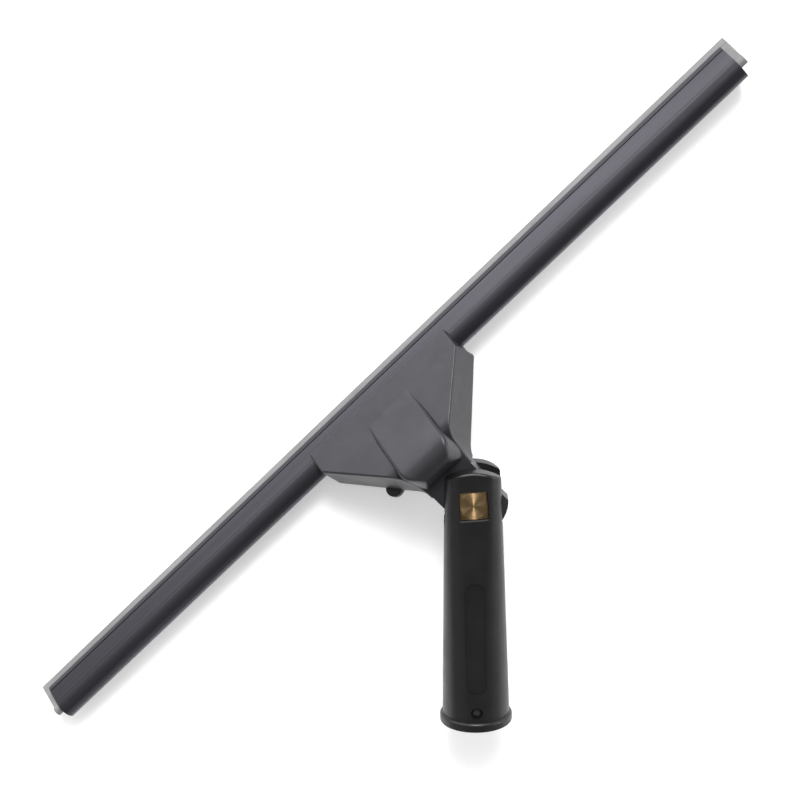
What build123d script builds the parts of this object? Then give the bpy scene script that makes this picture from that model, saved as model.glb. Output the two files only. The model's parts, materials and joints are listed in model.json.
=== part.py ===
from build123d import *
import os
from math import cos, radians, sin

# A swivel window squeegee, lying on its back: X runs along the channel, Z along the pivot bolt,
# and the blade points to +Y. Sizes are millimetres and angles are degrees.

# ---- how the three main pieces stand to each other
bend = 40.0  # between the head and the plane that the handle swivels in
turn = 43.0  # the handle's swivel from straight, as stored
blade_reach = 74.4  # blade edge to pivot axis, seen along the pivot
blade_drop = 40.0  # front of the ears down to the channel's front face, at the blade edge

# ---- channel and blade; d runs from the blade edge towards the pivot, w out of the front face
channel_length = 450.0
blade_length = 458.0
lip_d = 3.5  # blade edge to the channel's nose
tube_radius = 6.0
tube_bore = 4.7
tube_d = 15.6
tube_w = -tube_radius
jaw_back_w = -7.8
web_w = -3.9  # the blade's middle plane
web_thickness = 1.9
lip_thickness = 2.2
bead_d = tube_d
bead_radius = 2.4
wedge_length = 12.0
wedge_inset = 0.4

# ---- head
plate_w = 2.7  # outer face of the head's front plate
plate_top_d = 12.6
tip_d = 24.5
tip_half = 44.3
neck_d = 59.6
neck_half = 12.2
back_slope = 7.4  # the back of the head, against its front plate
back_w = -14.2  # outer back face, at plate_top_d
wall = 2.6
cover_thickness = 2.2
cradle_back_d = 23.8  # the cover's cradle ends here, and the housing's side walls begin
channel_gap = 0.12  # running clearance round the channel

# ---- handle; s runs from the pivot up to the top of the ears, and is negative towards the butt
axis_z = -14.1  # the handle's centre line, behind the front of the ears
ear_top_s = 16.0
butt_s = -107.2
ring_s = -111.8
ring_radius = 17.5
slot_front_z = -8.0
slot_back_z = -20.0
ear_back_z = 2 * axis_z
socket_radius = 11.0
sleeve_radius = 12.7
socket_end_s = -50.0
stud_s = -102.5  # the sleeve's stud stands in a hole in the front of the handle
stud_hole_radius = 2.85
stud_radius = 2.1
stud_top_z = -0.2

# ---- swivel joint
tongue_radius = 16.5
tongue_front_z = -8.6
tongue_back_z = -19.4
shank_radius = 4.0
bush_radius = 6.0
square = 13.0
square_turn = 3.0
nut_seat_z = -22.4
nut_half = 6.5  # half the width across its flats
washer_radius = 8.0
washer_thickness = 0.8
spring_washer_thickness = 0.5
friction_washer_radius = 12.0
friction_washer_thickness = 0.5

# ---- channel clamp and its lever
lever_pivot = (-12.0, 41.1)  # u and d of the lever's pivot
peg_radius = 2.0
stem_radius = 2.0
stem_w = -6.0
shoe_half = 7.5
shoe_top_w = -3.3
shoe_back_d = 27.2
bulkhead_d = 36.5
bulkhead_back_d = 38.8

lip_top_w = web_w + lip_thickness / 2
lip_bottom_w = web_w - lip_thickness / 2
far_y = blade_reach + lip_top_w * sin(radians(bend))
near_y = ring_s * cos(radians(turn)) - ring_radius * sin(radians(turn))
pivot_y = -(far_y + near_y) / 2
face_z = blade_drop - lip_bottom_w * cos(radians(bend))  # front of the ears, over the floor

along = (cos(radians(turn)), -sin(radians(turn)), 0)  # across the handle
towards_butt = (-sin(radians(turn)), -cos(radians(turn)), 0)
head_normal = (0, sin(radians(bend)), cos(radians(bend)))
head_down = (0, -cos(radians(bend)), sin(radians(bend)))  # from the blade towards the pivot


def head_plane(w):
    """Parallel to the head's front plate; local x is u, along the channel, and local y is -d."""
    y = pivot_y + blade_reach + w * head_normal[1]
    z = face_z - blade_drop + w * head_normal[2]
    return Plane(origin=(0, y, z), x_dir=(1, 0, 0), z_dir=head_normal)


def section_plane(u):
    """Across the channel; local x is d and local y is w."""
    origin = (u, pivot_y + blade_reach, face_z - blade_drop)
    return Plane(origin=origin, x_dir=head_down, z_dir=(-1, 0, 0))


def back_w_at(d):
    """The w of the head's outer back face at a distance d from the blade edge."""
    return back_w - (d - plate_top_d) * sin(radians(back_slope)) / cos(radians(back_slope))


def back_plane(depth):
    """Parallel to the head's sloping back and depth outside it; local x is u, local y is -run(d)."""
    tilt = radians(bend - back_slope)
    inwards = Vector(0, sin(tilt), cos(tilt))
    base = head_plane(0).from_local_coords(Vector(0, 0, back_w_at(0)))
    return Plane(origin=base - inwards * depth, x_dir=(1, 0, 0), z_dir=inwards)


def run(d):
    """Length along the sloping back for a distance d along the front plate."""
    return d / cos(radians(back_slope))


def stem_plane(d):
    """Across the clamp's stem, facing the pivot."""
    origin = head_plane(0).from_local_coords(Vector(0, -d, stem_w))
    return Plane(origin=origin, x_dir=(1, 0, 0), z_dir=head_down)


def swivel_plane(z):
    """Square to the pivot and in line with the head."""
    return Plane(origin=(0, pivot_y, face_z + z))


def ear_plane(z):
    """Square to the pivot and in line with the handle: local x is across, local y is s."""
    return Plane(origin=(0, pivot_y, face_z + z), x_dir=along, z_dir=(0, 0, 1))


def ring_plane(s):
    """Square to the handle's centre line, facing the butt; local y is up."""
    origin = (-s * towards_butt[0], pivot_y - s * towards_butt[1], face_z + axis_z)
    return Plane(origin=origin, x_dir=along, z_dir=towards_butt)


os.makedirs("parts", exist_ok=True)


def save(builder, name):
    builder.part.label = name
    export_step(builder.part, f"parts/{name}.step")


# ================================================================ channel and blade

with BuildPart() as channel:
    with BuildSketch(section_plane(0)):
        with Locations((tube_d, tube_w)):
            Circle(tube_radius)
        with BuildLine():
            Polyline(
                (tube_d, 0),
                (15.2, 0),
                (15.1, -0.5),
                (14.7, -0.5),
                (14.6, 0),
                (6.9, 0),
                (6.9, -0.8),
                (6.3, -0.8),
                (6.3, -0.2),
                (4.6, -0.6),
                (lip_d, -1.5),
                (lip_d, -6.5),
                (4.6, jaw_back_w + 0.4),
                (6.0, jaw_back_w),
                (tube_d, jaw_back_w),
                close=True,
            )
        make_face()
        with Locations((tube_d, tube_w)):
            Circle(tube_bore, mode=Mode.SUBTRACT)
        with BuildLine():
            Polyline((7.4, -1.7), (14.5, -1.7), (14.5, -6.1), (7.4, -6.1), close=True)
        make_face(mode=Mode.SUBTRACT)
        with Locations((6.0, web_w)):
            Rectangle(6.0, web_thickness + 0.1, mode=Mode.SUBTRACT)
    extrude(amount=channel_length / 2, both=True)
save(channel, "channel")

with BuildPart() as rubber_blade:
    with BuildSketch(section_plane(0)):
        with BuildLine():
            Polyline(
                (0, lip_top_w),
                (3.0, lip_top_w),
                (3.4, web_w + web_thickness / 2),
                (bead_d, web_w + web_thickness / 2),
                (bead_d, web_w - web_thickness / 2),
                (3.4, web_w - web_thickness / 2),
                (3.0, lip_bottom_w),
                (0, lip_bottom_w),
                close=True,
            )
        make_face()
        with Locations((bead_d, web_w)):
            Circle(bead_radius)
    extrude(amount=blade_length / 2, both=True)
save(rubber_blade, "rubber_blade")

# a nylon wedge in each end of the tube holds the blade's bead
wedge_top_w = web_w - bead_radius - 0.1
for side, name in ((-1, "blade_wedge_left"), (1, "blade_wedge_right")):
    with BuildPart() as blade_wedge:
        with BuildSketch(section_plane(side * (channel_length / 2 - wedge_inset))):
            with Locations((tube_d, tube_w)):
                Circle(tube_bore - 0.03)
            with Locations((tube_d, wedge_top_w + 10)):
                Rectangle(20, 20, mode=Mode.SUBTRACT)
        extrude(amount=side * wedge_length)
    save(blade_wedge, name)

# ================================================================ head

pocket_radius = tube_radius + channel_gap
rib_back_d = 26.9  # the rib behind the channel's tube
split_w = -8.5  # the housing ends here below the tube, and the cover's cradle begins
solid_neck_d = 54.0  # the head is solid from here to the pivot
ridge_half = neck_half + 2.0
ridge_end_d = 65.6
saddle_d = 49.0  # the front plate starts to curve down to the tongue
tip_slope = (tip_half - neck_half) / (neck_d - tip_d)
wall_across = wall / cos(radians(42.4))  # the side wall's thickness along u
boss_spots = ((31.0, 30.8), (8.6, 50.4))
boss_radius = 3.2
screw_radius = 1.25
screw_head_radius = 2.5


def inner_half(d):
    """Half-width inside the housing's side walls."""
    return tip_half - (d - tip_d) * tip_slope - wall_across


def inside(first_d):
    """Outline of the space between the side walls, from first_d to the solid neck, as u and d."""
    return (
        (-inner_half(first_d), first_d),
        (inner_half(first_d), first_d),
        (inner_half(solid_neck_d), solid_neck_d),
        (-inner_half(solid_neck_d), solid_neck_d),
    )


# the raised neck on the front plate, over the root of the tongue
with BuildPart() as neck_ridge:
    with BuildSketch(section_plane(0)):
        with BuildLine():
            Polyline((62.8, -11.7), (60.0, -14.0), (40.0, -6.0), (24.0, 0), (24.0, plate_w))
            Spline(
                (24.0, plate_w),
                (40.0, 4.8),
                (54.0, 6.5),
                (61.0, 5.8),
                (64.9, 2.0),
                (65.0, -2.5),
                (62.8, -11.7),
                tangents=((1.0, 0.08), (-0.25, -0.97)),
            )
        make_face()
    extrude(amount=ridge_half, both=True)
    # seen from the front, its end over the tongue is rounded
    with BuildSketch(head_plane(-30)):
        with Locations((0, -ridge_end_d / 2)):
            RectangleRounded(2 * ridge_half, ridge_end_d, 10)
    extrude(amount=60, mode=Mode.INTERSECT)
    front_edges = Axis(head_plane(0).origin, head_normal)
    fillet(neck_ridge.edges().filter_by_position(front_edges, plate_w + 0.01, 12), 2.0)

with BuildPart() as head_housing:
    # outline of the front plate, swept back with a little draft
    with BuildSketch(head_plane(plate_w)) as outline:
        with BuildLine():
            Polyline(
                (-tip_half, -plate_top_d),
                (tip_half, -plate_top_d),
                (tip_half, -tip_d),
                (neck_half, -neck_d),
                (neck_half, -80),
                (-neck_half, -80),
                (-neck_half, -neck_d),
                (-tip_half, -tip_d),
                close=True,
            )
        make_face()
        neck_corners = outline.vertices().group_by(Axis.Y)[1]
        fillet(neck_corners, 16)
        tip_corners = outline.vertices().group_by(Axis.X)
        fillet(tip_corners[0] + tip_corners[-1], 1.2)
    extrude(amount=-36, taper=-2.5)
    # the side view of the same block
    with BuildSketch(section_plane(0)):
        with BuildLine():
            Polyline(
                (saddle_d, plate_w),
                (plate_top_d, plate_w),
                (plate_top_d, back_w),
                (61.1, back_w_at(61.1)),
                (66.1, -14.55),
                (63.3, -12.2),
            )
            Spline(
                (63.3, -12.2),
                (60.3, -9.0),
                (57.8, -3.8),
                (54.5, 0.9),
                (saddle_d, plate_w),
                tangents=((-0.766, 0.643), (-1, 0)),
            )
        make_face()
    extrude(amount=70, both=True, mode=Mode.INTERSECT)
    rim = head_housing.edges().filter_by_position(front_edges, plate_w - 0.01, plate_w + 0.01)
    neck_sides = head_housing.edges().filter_by_position(front_edges, -6, -1).filter_by(
        lambda edge: neck_half < abs(edge.center().X) < 20
    )
    rim_top = rim.filter_by(Axis.X).sort_by(Axis.Y)[-1]
    fillet(rim.filter_by(Axis.X, reverse=True) + neck_sides + [rim_top], 1.0)
    # the tongue between the ears
    with BuildSketch(swivel_plane(tongue_back_z)):
        Circle(tongue_radius)
        with Locations((0, 14)):
            Rectangle(2 * neck_half, 28)
        Rectangle(2 * neck_half, 70, mode=Mode.INTERSECT)
    extrude(amount=tongue_front_z - tongue_back_z)
    add(neck_ridge.part)
    # pocket for the channel, open to the blade and to the back
    with BuildSketch(section_plane(0)):
        with Locations((tube_d, tube_w)):
            Circle(pocket_radius)
        with BuildLine():
            Polyline(
                (0, channel_gap),
                (tube_d, channel_gap),
                (tube_d, split_w),
                (cradle_back_d, split_w),
                (cradle_back_d, -40),
                (0, -40),
                close=True,
            )
        make_face()
        with Locations((15.3, channel_gap)):
            Rectangle(3.8, 1.6)
    extrude(amount=60, both=True, mode=Mode.SUBTRACT)
    # hollow for the clamp, then the space that the cover fills
    with BuildSketch(head_plane(0)):
        with BuildLine():
            Polyline([(u, -d) for u, d in inside(rib_back_d)], close=True)
        make_face()
    extrude(amount=-40, mode=Mode.SUBTRACT)
    with BuildSketch(head_plane(0.2)):
        for u, d in boss_spots:
            with Locations((u, -d), (-u, -d)):
                Circle(boss_radius)
        with Locations((0, -(bulkhead_d + bulkhead_back_d) / 2)):
            Rectangle(13, bulkhead_back_d - bulkhead_d)
    extrude(amount=-30)
    with BuildSketch(back_plane(0)):
        with Locations((0, -run(solid_neck_d) / 2)):
            Rectangle(2 * tip_half, run(solid_neck_d))
    extrude(amount=-20, mode=Mode.SUBTRACT)
    with BuildSketch(section_plane(0)):
        with BuildLine():
            Polyline(
                (cradle_back_d, back_w_at(cradle_back_d) + cover_thickness + 0.1),
                (solid_neck_d, back_w_at(solid_neck_d) + cover_thickness + 0.1),
                (solid_neck_d, -40),
                (cradle_back_d, -40),
                close=True,
            )
        make_face()
    extrude(amount=inner_half(solid_neck_d) + 1.5, both=True, mode=Mode.SUBTRACT)
    with BuildSketch(back_plane(20)):
        with BuildLine():
            Polyline([(u, -run(d)) for u, d in inside(cradle_back_d - 1)], close=True)
        make_face()
    extrude(amount=20 + cover_thickness + 0.05, mode=Mode.SUBTRACT)
    # window for the clamp shoe, guide for its stem, screw holes and the pivot's bush
    with BuildSketch(section_plane(0)):
        with Locations((24, shoe_top_w + 0.1)):
            Rectangle(8, 6.6, align=(Align.CENTER, Align.MAX))
    extrude(amount=shoe_half + 0.1, both=True, mode=Mode.SUBTRACT)
    with BuildSketch(stem_plane(30)):
        Circle(stem_radius + 0.1)
    extrude(amount=12, mode=Mode.SUBTRACT)
    with BuildSketch(back_plane(0)):
        for u, d in boss_spots:
            with Locations((u, -run(d)), (-u, -run(d))):
                Circle(screw_radius + 0.05)
    extrude(amount=9, mode=Mode.SUBTRACT)
    with BuildSketch(swivel_plane(tongue_back_z - 1)):
        Circle(bush_radius)
    extrude(amount=20, mode=Mode.SUBTRACT)
save(head_housing, "head_housing")

# glide pads between the head and the channel
pad_half = 40.0
with BuildPart() as glide_pad_front:
    with BuildSketch(section_plane(0)):
        with BuildLine():
            Polyline((13.45, 0.06), (17.15, 0.06), (17.15, 0.9), (13.45, 0.9), close=True)
        make_face()
    extrude(amount=pad_half, both=True)
save(glide_pad_front, "glide_pad_front")

pad_outer_radius = 6.8
with BuildPart() as glide_pad_rear:
    with BuildSketch(section_plane(0)):
        with Locations((tube_d, tube_w)):
            Circle(pad_outer_radius - 0.03)
            Circle(tube_radius + 0.06, mode=Mode.SUBTRACT)
        with Locations((tube_d, -12.0)):
            Rectangle(7.0, 6.0, mode=Mode.INTERSECT)
    extrude(amount=pad_half, both=True)
save(glide_pad_rear, "glide_pad_rear")

# back cover: a plate with the cradle that hooks round the channel's tube
hook_d = 11.5
hook_top_w = -11.3
rivet_radius = 2.0
rivet_head_radius = 3.8
rivet_boss_radius = 4.4
lever_u, lever_d = lever_pivot
with BuildPart() as head_back_cover:
    with BuildSketch(back_plane(0)):
        with BuildLine():
            Polyline(
                (-tip_half + 0.2, -run(hook_d)),
                (tip_half - 0.2, -run(hook_d)),
                (tip_half - 0.2, -run(cradle_back_d - 0.5)),
                (inner_half(cradle_back_d) - 0.1, -run(cradle_back_d - 0.5)),
                (inner_half(solid_neck_d) - 0.1, -run(solid_neck_d) + 0.1),
                (-inner_half(solid_neck_d) + 0.1, -run(solid_neck_d) + 0.1),
                (-inner_half(cradle_back_d) + 0.1, -run(cradle_back_d - 0.5)),
                (-tip_half + 0.2, -run(cradle_back_d - 0.5)),
                close=True,
            )
        make_face()
    extrude(amount=cover_thickness)
    with BuildSketch(section_plane(0)):
        with BuildLine():
            Polyline(
                (hook_d, hook_top_w),
                (tube_d, hook_top_w),
                (tube_d, split_w - 0.1),
                (cradle_back_d - 0.1, split_w - 0.1),
                (cradle_back_d - 0.1, back_w_at(cradle_back_d - 0.1)),
                (hook_d, back_w_at(hook_d)),
                close=True,
            )
        make_face()
        with Locations((tube_d, tube_w)):
            Circle(pocket_radius, mode=Mode.SUBTRACT)
    extrude(amount=tip_half - 0.2, both=True)
    with BuildSketch(section_plane(0)):
        with Locations((tube_d, tube_w)):
            Circle(pad_outer_radius)
        with Locations((tube_d, -12.0)):
            Rectangle(7.1, 6.1, mode=Mode.INTERSECT)
    extrude(amount=pad_half + 0.1, both=True, mode=Mode.SUBTRACT)
    with BuildSketch(back_plane(-cover_thickness)):
        with Locations((lever_u, -run(lever_d))):
            Circle(rivet_boss_radius)
    extrude(amount=4.5)
    # rivet hole, window for the lever's peg, and countersunk screw holes
    with BuildSketch(back_plane(1)):
        with Locations((lever_u, -run(lever_d))):
            Circle(rivet_radius)
        with Locations((0, -run(lever_d) - 0.8)):
            SlotOverall(8.0, 5.2, rotation=90)
    extrude(amount=12, mode=Mode.SUBTRACT)
    for u, d in boss_spots:
        for side in (-1, 1):
            with BuildSketch(back_plane(0)):
                with Locations((side * u, -run(d))):
                    Circle(screw_head_radius + 0.2)
            with BuildSketch(back_plane(-1.3)):
                with Locations((side * u, -run(d))):
                    Circle(screw_radius + 0.15)
            loft(mode=Mode.SUBTRACT)
            with BuildSketch(back_plane(0)):
                with Locations((side * u, -run(d))):
                    Circle(screw_radius + 0.15)
            extrude(amount=5, mode=Mode.SUBTRACT)
save(head_back_cover, "head_back_cover")

with BuildPart() as cover_screws:
    for u, d in boss_spots:
        for side in (-1, 1):
            with BuildSketch(back_plane(-0.1)):
                with Locations((side * u, -run(d))):
                    Circle(screw_head_radius)
            with BuildSketch(back_plane(-1.35)):
                with Locations((side * u, -run(d))):
                    Circle(screw_radius)
            loft()
            with BuildSketch(back_plane(-0.5)):
                with Locations((side * u, -run(d))):
                    Circle(screw_radius)
            extrude(amount=6.5)
            with BuildSketch(back_plane(-0.1)):
                with Locations((side * u, -run(d))):
                    Rectangle(2.6, 0.6)
                    Rectangle(0.6, 2.6)
            extrude(amount=0.8, mode=Mode.SUBTRACT)
save(cover_screws, "cover_screws")

# ================================================================ channel clamp

with BuildPart() as clamp_shoe:
    with BuildSketch(section_plane(0)):
        with BuildLine():
            Polyline(
                (18, shoe_top_w),
                (shoe_back_d, shoe_top_w),
                (shoe_back_d, split_w + 0.1),
                (18, split_w + 0.1),
                close=True,
            )
        make_face()
        with Locations((tube_d, tube_w)):
            Circle(tube_radius + 0.05, mode=Mode.SUBTRACT)
    extrude(amount=shoe_half, both=True)
    with BuildSketch(stem_plane(23.5)):
        Circle(stem_radius + 0.02)
    extrude(amount=10, mode=Mode.SUBTRACT)
save(clamp_shoe, "clamp_shoe")

collar_d = 44.7
collar_thickness = 2.0
with BuildPart() as clamp_stem:
    with BuildSketch(stem_plane(23.5)):
        Circle(stem_radius)
    extrude(amount=24.5)
save(clamp_stem, "clamp_stem")

with BuildPart() as stem_collar:
    with BuildSketch(stem_plane(collar_d)):
        Circle(5.0)
        Circle(stem_radius + 0.02, mode=Mode.SUBTRACT)
    extrude(amount=collar_thickness)
save(stem_collar, "stem_collar")

wire_radius = 0.4
spring_length = bulkhead_d - shoe_back_d - 2 * wire_radius - 0.2
spring_coils = 6
spring_radius = 3.0
with BuildPart() as clamp_spring:
    spring_base = stem_plane(shoe_back_d + wire_radius + 0.1).origin
    with BuildLine():
        pitch = spring_length / spring_coils
        coil = Helix(pitch, spring_length, spring_radius, center=spring_base, direction=head_down)
    with BuildSketch(Plane(origin=coil @ 0, z_dir=coil % 0)):
        Circle(wire_radius)
    sweep(path=coil, is_frenet=True)
save(clamp_spring, "clamp_spring")

# the release lever lies on the head's back; its thumb tab passes the left side wall
lever_gap = 0.3
lever_thickness = 2.6
lever_hub_radius = 5.5
peg_arm_width = 7.0
tab_reach = 14.2
tab_width = 8.6
peg_length = 9.6
tab_u = lever_u - 0.945 * tab_reach
tab_d = lever_d + 0.328 * tab_reach
with BuildPart() as release_lever:
    with BuildSketch(back_plane(lever_gap + lever_thickness)):
        with Locations((lever_u, -run(lever_d))):
            Circle(lever_hub_radius)
        with BuildLine():
            Line((lever_u, -run(lever_d)), (tab_u, -run(tab_d)))
        trace(line_width=tab_width)
        with Locations((tab_u, -run(tab_d))):
            Circle(tab_width / 2)
        with BuildLine():
            Line((lever_u, -run(lever_d)), (0, -run(lever_d)))
        trace(line_width=peg_arm_width)
        with Locations((0, -run(lever_d))):
            Circle(peg_arm_width / 2)
    extrude(amount=lever_thickness)
    with BuildSketch(back_plane(lever_gap)):
        with Locations((0, -run(lever_d))):
            Circle(peg_radius)
    extrude(amount=peg_length)
    with BuildSketch(back_plane(lever_gap + lever_thickness + 1)):
        with Locations((lever_u, -run(lever_d))):
            Circle(rivet_radius + 0.05)
    extrude(amount=lever_thickness + 2, mode=Mode.SUBTRACT)
save(release_lever, "release_lever")

with BuildPart() as lever_rivet:
    with BuildSketch(back_plane(lever_gap + lever_thickness + 1.35)):
        with Locations((lever_u, -run(lever_d))):
            Circle(rivet_head_radius)
    extrude(amount=1.3)
    fillet(lever_rivet.edges().group_by(Axis(back_plane(0).origin, back_plane(0).z_dir))[0], 0.6)
    with BuildSketch(back_plane(lever_gap + lever_thickness + 0.2)):
        with Locations((lever_u, -run(lever_d))):
            Circle(rivet_radius)
    extrude(amount=8.5)
save(lever_rivet, "lever_rivet")

# ================================================================ swivel joint

with BuildPart() as tongue_bush:
    with BuildSketch(swivel_plane(tongue_back_z)):
        Circle(bush_radius - 0.02)
        Circle(shank_radius + 0.05, mode=Mode.SUBTRACT)
    extrude(amount=tongue_front_z - tongue_back_z)
save(tongue_bush, "tongue_bush")

brass_front_z = -0.9
brass_back_z = -5.2
face_radius = 6.3
corner_drop = 1.1  # how far the corners are cut back, at 9.6 from the axis
with BuildPart() as pivot_bolt:
    with BuildSketch(ear_plane(brass_back_z)):
        Rectangle(square, square, rotation=square_turn)
    extrude(amount=brass_front_z - brass_back_z)
    # the lathe leaves a round face and cuts the four corners back
    with BuildSketch(Plane(origin=ear_plane(0).origin, x_dir=along, z_dir=towards_butt)):
        with BuildLine():
            Polyline(
                (0, brass_front_z),
                (face_radius, brass_front_z),
                (9.6, brass_front_z - corner_drop),
                (9.6, brass_back_z),
                (0, brass_back_z),
                close=True,
            )
        make_face()
    revolve(axis=Axis((0, pivot_y, 0), (0, 0, 1)), mode=Mode.INTERSECT)
    with BuildSketch(ear_plane(brass_back_z)):
        Circle(shank_radius)
    extrude(amount=ear_back_z - brass_back_z)
save(pivot_bolt, "pivot_bolt")

with BuildPart() as pivot_washer:
    with BuildSketch(ear_plane(nut_seat_z)):
        Circle(washer_radius)
        Circle(shank_radius + 0.2, mode=Mode.SUBTRACT)
    extrude(amount=-washer_thickness)
save(pivot_washer, "pivot_washer")

# a conical spring washer keeps the friction on the tongue
spring_washer_z = nut_seat_z - washer_thickness
spring_washer_rise = 0.35
with BuildPart() as spring_washer:
    with BuildSketch(Plane(origin=ear_plane(spring_washer_z).origin, x_dir=along, z_dir=towards_butt)):
        with BuildLine():
            Polyline(
                (4.2, -spring_washer_rise),
                (7.6, 0),
                (7.6, -spring_washer_thickness),
                (4.2, -spring_washer_rise - spring_washer_thickness),
                close=True,
            )
        make_face()
    revolve(axis=Axis((0, pivot_y, 0), (0, 0, 1)))
save(spring_washer, "spring_washer")

nut_front_z = spring_washer_z - spring_washer_rise - spring_washer_thickness
with BuildPart() as pivot_nut:
    with BuildSketch(ear_plane(nut_front_z)):
        RegularPolygon(nut_half, 6, major_radius=False)
        Circle(shank_radius + 0.02, mode=Mode.SUBTRACT)
    extrude(amount=ear_back_z - nut_front_z + 0.2)
save(pivot_nut, "pivot_nut")

for name, low_z in (
    ("friction_washer_front", slot_front_z - friction_washer_thickness),
    ("friction_washer_rear", slot_back_z),
):
    with BuildPart() as friction_washer:
        with BuildSketch(ear_plane(low_z)):
            Circle(friction_washer_radius)
            Circle(shank_radius + 0.2, mode=Mode.SUBTRACT)
        extrude(amount=friction_washer_thickness)
    save(friction_washer, name)

# ================================================================ handle

ear_half = 13.1
ear_corner = 7.5
ear_edge_radius = 1.2
butt_half = 16.2
front_slope = 0.0197  # how much the front rises towards the butt, per millimetre
floor_radius = 17.1  # the slot's floor, about the pivot
slot_shoulder = neck_half + 0.3  # lets the head's neck turn square to the handle
ear_top_radius = 24.6
recess_length = 55.7
recess_width = 10.0
recess_s = -65.5
recess_depth = 0.8
nut_well_radius = 8.6
window = square + 0.5

with BuildPart() as handle_body:
    with BuildSketch(ring_plane(ear_top_s + 1)):
        depth = -2 * (axis_z + front_slope * (ear_top_s + 1))
        RectangleRounded(2 * ear_half, depth, ear_corner)
    with BuildSketch(ring_plane(butt_s)):
        RectangleRounded(2 * butt_half, 2 * butt_half, butt_half - 0.1)
    loft()
    # rounded tops of the ears
    with BuildSketch(ear_plane(-60)) as ear_outline:
        with Locations((0, ear_top_s - ear_top_radius)):
            Circle(ear_top_radius)
        with Locations((0, -80)):
            Rectangle(60, 160)
        with Locations((0, -60)):
            Rectangle(2 * ear_half + 0.6, 160, mode=Mode.INTERSECT)
        fillet(ear_outline.vertices().group_by(Axis.Y)[-1], 2.5)
        with Locations((0, -100)):
            Rectangle(60, 180)
    extrude(amount=120, mode=Mode.INTERSECT)
    up_handle = Axis((0, pivot_y, 0), Vector(towards_butt) * -1)
    fillet(handle_body.edges().filter_by_position(up_handle, 9, 18), ear_edge_radius)
    # slot for the tongue
    with BuildSketch(ear_plane(slot_back_z)):
        Circle(floor_radius)
        with Locations((0, 20 - slot_shoulder)):
            Rectangle(60, 40)
    extrude(amount=slot_front_z - slot_back_z, mode=Mode.SUBTRACT)
    # square window for the bolt's head, bolt hole and nut well
    with BuildSketch(ear_plane(brass_back_z)):
        Rectangle(window, window, rotation=square_turn)
    extrude(amount=20, mode=Mode.SUBTRACT)
    with BuildSketch(ear_plane(-0.45)):
        Rectangle(window, window, rotation=square_turn)
    extrude(amount=2, taper=-40, mode=Mode.SUBTRACT)
    with BuildSketch(ear_plane(-40)):
        Circle(shank_radius + 0.1)
    extrude(amount=40, mode=Mode.SUBTRACT)
    with BuildSketch(ear_plane(nut_seat_z)):
        Circle(nut_well_radius)
    extrude(amount=-20, mode=Mode.SUBTRACT)
    # label recess on the front, left blank
    front_z = -front_slope * recess_s - recess_depth
    recess_origin = Vector(
        -recess_s * towards_butt[0], pivot_y - recess_s * towards_butt[1], face_z + front_z
    )
    recess_normal = (-front_slope * towards_butt[0], -front_slope * towards_butt[1], 1)
    with BuildSketch(Plane(origin=recess_origin, x_dir=along, z_dir=recess_normal)):
        SlotOverall(recess_length, recess_width, rotation=90)
    extrude(amount=6, mode=Mode.SUBTRACT)
    # socket for the pole's sleeve, and the hole for its stud
    with BuildSketch(ring_plane(socket_end_s)):
        Circle(sleeve_radius + 0.03)
    extrude(amount=socket_end_s - butt_s + 1, mode=Mode.SUBTRACT)
    with BuildSketch(ear_plane(axis_z)):
        with Locations((0, stud_s)):
            Circle(stud_hole_radius)
    extrude(amount=30, mode=Mode.SUBTRACT)
save(handle_body, "handle_body")

with BuildPart() as pole_sleeve:
    with BuildSketch(ring_plane(socket_end_s - 0.1)):
        Circle(sleeve_radius)
    extrude(amount=socket_end_s - ring_s - 0.1)
    with BuildSketch(ear_plane(stud_top_z)):
        with Locations((0, stud_s)):
            Circle(stud_radius)
    extrude(amount=axis_z - stud_top_z)
    stud_edge = pole_sleeve.edges().sort_by(Axis.Z)[-1]
    fillet(stud_edge, 0.6)
    with BuildSketch(ring_plane(socket_end_s - 2.6)):
        Circle(socket_radius)
    extrude(amount=socket_end_s - ring_s, mode=Mode.SUBTRACT)
    chamfer(pole_sleeve.edges().group_by(Axis((0, 0, 0), towards_butt))[-1].sort_by(SortBy.RADIUS)[0], 0.8)
save(pole_sleeve, "pole_sleeve")

with BuildPart() as butt_ring:
    with BuildSketch(ring_plane(butt_s)):
        Circle(ring_radius)
        Circle(sleeve_radius + 0.03, mode=Mode.SUBTRACT)
    extrude(amount=butt_s - ring_s)
    outer_edges = butt_ring.edges().filter_by(GeomType.CIRCLE).sort_by(SortBy.RADIUS)[-2:]
    fillet(outer_edges.sort_by(Axis((0, 0, 0), towards_butt))[0], 1.4)
    fillet(butt_ring.edges().filter_by(GeomType.CIRCLE).group_by(SortBy.RADIUS)[-1][-1], 0.7)
save(butt_ring, "butt_ring")
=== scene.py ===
import json
import math

import bpy
from mathutils import Matrix, Vector


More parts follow.
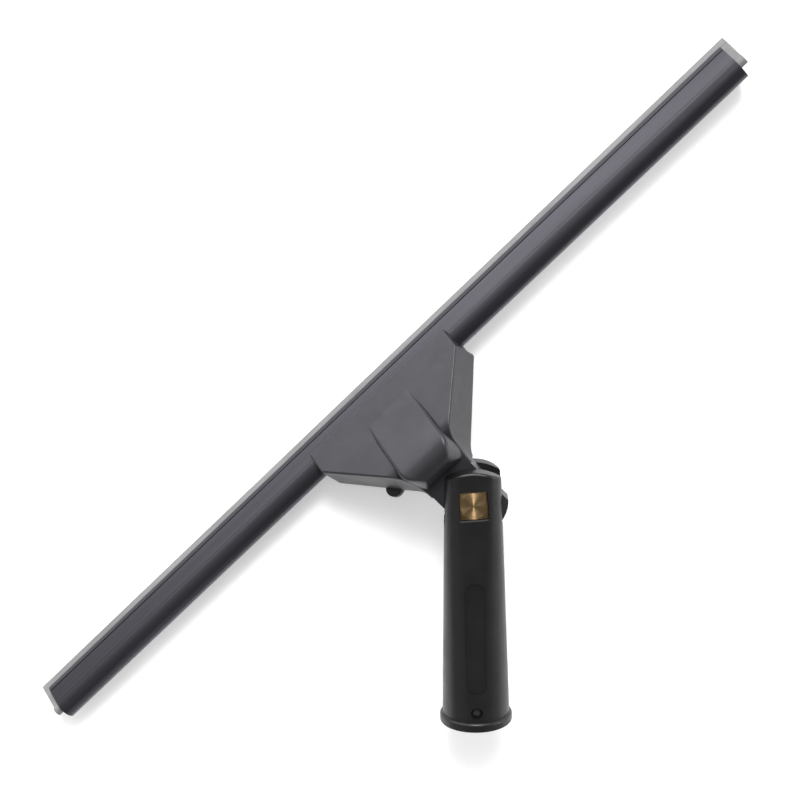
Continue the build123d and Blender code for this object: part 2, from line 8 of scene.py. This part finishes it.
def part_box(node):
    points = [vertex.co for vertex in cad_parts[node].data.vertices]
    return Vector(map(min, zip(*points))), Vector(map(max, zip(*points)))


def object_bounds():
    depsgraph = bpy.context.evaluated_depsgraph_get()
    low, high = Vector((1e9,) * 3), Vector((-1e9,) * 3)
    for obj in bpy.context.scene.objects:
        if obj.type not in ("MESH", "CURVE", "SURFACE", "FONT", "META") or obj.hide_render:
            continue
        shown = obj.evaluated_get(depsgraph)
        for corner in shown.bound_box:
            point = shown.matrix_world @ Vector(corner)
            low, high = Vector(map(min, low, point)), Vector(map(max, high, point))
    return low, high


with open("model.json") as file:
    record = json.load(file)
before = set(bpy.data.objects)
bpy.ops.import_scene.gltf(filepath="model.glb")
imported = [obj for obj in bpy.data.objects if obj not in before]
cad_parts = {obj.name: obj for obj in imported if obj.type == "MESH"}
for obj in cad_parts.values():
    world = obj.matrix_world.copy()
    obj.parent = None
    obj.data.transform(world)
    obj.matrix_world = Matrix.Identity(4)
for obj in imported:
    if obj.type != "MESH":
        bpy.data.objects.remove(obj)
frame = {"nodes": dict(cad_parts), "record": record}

cad_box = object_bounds()
nodes = frame["nodes"]
joints = {j["name"]: j for j in frame["record"]["behaviour"]["joints"]}
pivot = Vector(joints["head_swivel"]["pos_m"])


# ---------------------------------------------------------------- material helper


class Shader:
    """A Principled material with short calls for the textures used below."""

    def __init__(self, name, base, roughness, metallic=0.0):
        self.mat = bpy.data.materials.new(name)
        self.mat.use_nodes = True
        self.tree = self.mat.node_tree
        self.bsdf = self.tree.nodes["Principled BSDF"]
        self.set("Base Color", (*base, 1))
        self.set("Roughness", roughness)
        self.set("Metallic", metallic)

    def set(self, socket, value):
        self.bsdf.inputs[socket].default_value = value

    def node(self, kind, **inputs):
        n = self.tree.nodes.new(kind)
        for key, value in inputs.items():
            socket = n.inputs[key.replace("_", " ")]
            if isinstance(value, bpy.types.NodeSocket):
                self.tree.links.new(value, socket)
            else:
                socket.default_value = value
        return n

    def place(self, scale=(1, 1, 1), offset=(0, 0, 0)):
        coords = self.tree.nodes.new("ShaderNodeTexCoord").outputs["Object"]
        moved = self.node("ShaderNodeMapping", Vector=coords, Scale=scale)
        moved.inputs["Location"].default_value = [-o * s for o, s in zip(offset, scale)]
        return moved.outputs["Vector"]

    def noise(self, scale, stretch=(1, 1, 1), detail=3.0, rough=0.5):
        at = self.place(stretch)
        n = self.node("ShaderNodeTexNoise", Vector=at, Scale=scale, Detail=detail, Roughness=rough)
        return n.outputs["Fac"]

    def ramp(self, fac, stops):
        n = self.node("ShaderNodeValToRGB", Fac=fac)
        elements = n.color_ramp.elements
        while len(elements) < len(stops):
            elements.new(0.5)
        for element, (place, value) in zip(elements, stops):
            element.position = place
            element.color = (*value, 1) if isinstance(value, tuple) else (value, value, value, 1)
        return n.outputs["Color"]

    def colour(self, fac, low, high, at=(0.3, 0.7)):
        self.link(self.ramp(fac, [(at[0], low), (at[1], high)]), "Base Color")

    def roughness(self, fac, low, high, at=(0.3, 0.7)):
        self.link(self.ramp(fac, [(at[0], low), (at[1], high)]), "Roughness")

    def link(self, output, socket):
        self.tree.links.new(output, self.bsdf.inputs[socket])

    def bump(self, *layers):
        """layers are (height output, depth in metres), each laid over the last."""
        normal = None
        for height, depth in layers:
            n = self.node("ShaderNodeBump", Height=height, Strength=1.0, Distance=depth)
            if normal:
                self.tree.links.new(normal, n.inputs["Normal"])
            normal = n.outputs["Normal"]
        self.link(normal, "Normal")

    def paint(self, *names):
        for name in names:
            for s in nodes[name].material_slots:
                s.material = self.mat


def plastic(name, low, high, roughness, grain=2600, depth=1.6e-5):
    m = Shader(name, high, roughness)
    cloud = m.noise(38, detail=5, rough=0.6)
    m.colour(cloud, low, high)
    m.roughness(m.noise(70, detail=6, rough=0.65), roughness - 0.05, roughness + 0.07)
    m.bump((m.noise(240, detail=2), depth * 1.4), (m.noise(grain, detail=2), depth))
    return m


# ---------------------------------------------------------------- materials

head_polymer = plastic("head_polymer", (0.0135, 0.0132, 0.0150), (0.0190, 0.0186, 0.0210), 0.40)
head_polymer.set("Specular Tint", (0.94, 0.92, 1.0, 1))
head_polymer.paint("head_housing", "head_back_cover")

handle_polymer = plastic(
    "handle_polymer", (0.0060, 0.0060, 0.0064), (0.0085, 0.0085, 0.0090), 0.36, grain=3200, depth=1.0e-5
)
handle_polymer.set("Specular IOR Level", 0.38)
handle_polymer.paint("handle_body", "butt_ring")

lever_polymer = plastic("lever_polymer", (0.0065, 0.0065, 0.0068), (0.0095, 0.0095, 0.0100), 0.42)
lever_polymer.paint("release_lever")

sleeve_polymer = plastic("sleeve_polymer", (0.020, 0.020, 0.021), (0.028, 0.028, 0.030), 0.50)
sleeve_polymer.paint("pole_sleeve")

# extruded and anodised: fine die lines along the channel
anodised = Shader("black_anodised", (0.020, 0.020, 0.023), 0.34, 0.35)
lines = anodised.noise(900, (0.003, 1, 1), detail=4, rough=0.6)
anodised.colour(anodised.noise(420, (0.01, 1, 1), detail=3), (0.016, 0.016, 0.019), (0.026, 0.026, 0.030))
anodised.roughness(anodised.noise(130, (0.05, 1, 1), detail=5), 0.29, 0.40)
anodised.bump((lines, 6e-6), (anodised.noise(3500, detail=2), 3e-6))
anodised.set("Specular IOR Level", 0.65)
anodised.set("Specular Tint", (0.90, 0.87, 1.0, 1))
anodised.paint("channel")

rubber = Shader("blade_rubber", (0.195, 0.195, 0.196), 0.62)
wear = rubber.noise(160, (0.15, 1, 1), detail=6, rough=0.7)
rubber.colour(wear, (0.155, 0.155, 0.156), (0.235, 0.235, 0.236))
rubber.roughness(rubber.noise(500, detail=4), 0.52, 0.74)
rubber.bump((rubber.noise(1400, (0.2, 1, 1), detail=3), 1.5e-5), (rubber.noise(5200, detail=2), 6e-6))
rubber.paint("rubber_blade")

nylon = Shader("nylon", (0.66, 0.64, 0.58), 0.48)
nylon.colour(nylon.noise(90, detail=5), (0.60, 0.575, 0.51), (0.72, 0.70, 0.64))
nylon.roughness(nylon.noise(300, detail=3), 0.42, 0.56)
nylon.bump((nylon.noise(1800, detail=2), 1e-5))
nylon.set("Subsurface Weight", 0.15)
nylon.set("Subsurface Radius", (0.001, 0.0009, 0.0007))
nylon.paint(
    "blade_wedge_left", "blade_wedge_right", "glide_pad_front", "glide_pad_rear", "clamp_shoe", "tongue_bush",
    "friction_washer_front", "friction_washer_rear",
)

zinc = Shader("zinc_steel", (0.60, 0.61, 0.63), 0.28, 1.0)
zinc.colour(zinc.noise(260, detail=5), (0.50, 0.51, 0.52), (0.68, 0.68, 0.70))
zinc.roughness(zinc.noise(700, detail=5), 0.20, 0.40)
zinc.bump((zinc.noise(2400, detail=3), 6e-6))
zinc.paint("cover_screws", "clamp_stem", "stem_collar", "lever_rivet", "pivot_washer", "pivot_nut")

spring_steel = Shader("spring_steel", (0.28, 0.28, 0.29), 0.30, 1.0)
spring_steel.colour(spring_steel.noise(600, detail=4), (0.20, 0.20, 0.21), (0.36, 0.36, 0.37))
spring_steel.roughness(spring_steel.noise(900, detail=4), 0.24, 0.42)
spring_steel.bump((spring_steel.noise(3000, detail=2), 5e-6))
spring_steel.paint("clamp_spring", "spring_washer")

# turned brass: tool rings about the pivot, and the highlight that they draw out
brass = Shader("brass", (0.40, 0.27, 0.14), 0.40, 1.0)
rings = brass.node("ShaderNodeTexWave", Vector=brass.place(offset=pivot), Scale=800.0, Distortion=0.4)
rings.wave_type = "RINGS"
rings.rings_direction = "Z"
brass.colour(brass.noise(300, detail=5, rough=0.6), (0.34, 0.225, 0.110), (0.44, 0.305, 0.160))
brass.roughness(brass.noise(300, detail=4), 0.36, 0.44)
brass.bump((rings.outputs["Fac"], 3e-6), (brass.noise(3200, detail=3), 4e-7))
brass.set("Anisotropic", 0.95)
brass.link(brass.place(offset=pivot), "Tangent")
brass.paint("pivot_bolt")

# ---------------------------------------------------------------- floor, light and camera

floor_size = 12
floor_gap = 0.0004
floor_z = cad_box[0][2] - floor_gap
bpy.ops.mesh.primitive_grid_add(x_subdivisions=8, y_subdivisions=8, size=floor_size, location=(0, 0, floor_z))
floor = bpy.context.object
floor.name = "floor"
paper = Shader("floor_paper", (0.90, 0.90, 0.90), 0.9)
paper.colour(paper.noise(3, detail=2), (0.895, 0.895, 0.895), (0.905, 0.905, 0.905))
paper.set("Specular IOR Level", 0.1)
paper.set("Emission Color", (1, 1, 1, 1))
paper.set("Emission Strength", 0.28)
floor.data.materials.append(paper.mat)

# the studio is a dark room with soft lamps; azimuths turn from +Y towards +X
world = bpy.data.worlds.new("studio")
bpy.context.scene.world = world
world.use_nodes = True
tree = world.node_tree
look = tree.nodes.new("ShaderNodeTexCoord").outputs["Generated"]


def maths(operation, first, second=None):
    n = tree.nodes.new("ShaderNodeMath")
    n.operation = operation
    for socket, value in zip(n.inputs, (first, second)):
        if isinstance(value, bpy.types.NodeSocket):
            tree.links.new(value, socket)
        elif value is not None:
            socket.default_value = value
    return n.outputs[0]


def lamp(azimuth, elevation, sharpness, strength):
    """Radiance of a round, soft-edged lamp in the direction that the world is looked up in."""
    az, el = math.radians(azimuth), math.radians(elevation)
    dot = tree.nodes.new("ShaderNodeVectorMath")
    dot.operation = "DOT_PRODUCT"
    tree.links.new(look, dot.inputs[0])
    dot.inputs[1].default_value = (math.sin(az) * math.cos(el), math.cos(az) * math.cos(el), math.sin(el))
    off_centre = maths("SUBTRACT", dot.outputs["Value"], 1.0)
    return maths("MULTIPLY", maths("EXPONENT", maths("MULTIPLY", off_centre, sharpness)), strength)


# azimuth and elevation in degrees, sharpness of the edge, strength
LAMPS = (
    (0, 12, 25, 7.6),  # low, beyond the blade; the channel's front reflects it
    (45, 60, 8, 1.0),  # high, on the blade's right
    (44, 42, 100, 50.0),  # its hot spot, for the brass
    (128, 18, 40, 9.0),  # low, on the right rear, for the head's edges
    (45, 12, 30, 3.0),  # low, on the blade's right, for the window's lower lip
    (228, 12, 40, 8.0),  # low, on the left rear, for the head's lower wall
    (-60, 35, 8, 0.65),  # the last three are weak fills
    (180, 30, 5, 0.12),
    (140, 35, 8, 0.3),
)
radiance = 0.0
for azimuth, elevation, sharpness, strength in LAMPS:
    radiance = maths("ADD", lamp(azimuth, elevation, sharpness, strength), radiance)
studio = tree.nodes["Background"]
studio.inputs["Color"].default_value = (1, 1, 1, 1)
tree.links.new(radiance, studio.inputs["Strength"])

bolt_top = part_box("pivot_bolt")[1][2]
camera_at = Vector((0, pivot.y, bolt_top)) + Vector((0.14672, 0.18905, 0.77288))
aim = Vector((0.00344, 0.06363, 0))
roll = math.radians(45.65)
back = (camera_at - aim).normalized()
right = Vector((math.cos(roll), math.sin(roll), 0)).cross(back).normalized()
up = back.cross(right)
lens = bpy.data.cameras.new("camera")
lens.sensor_width = 36
lens.lens = 78.2
lens.clip_start = 0.01
camera = bpy.data.objects.new("camera", lens)
bpy.context.collection.objects.link(camera)
rotation = Matrix((right, up, back)).transposed().to_4x4()
camera.matrix_world = Matrix.Translation(camera_at) @ rotation
bpy.context.scene.camera = camera
bpy.context.scene.view_settings.view_transform = "Standard"
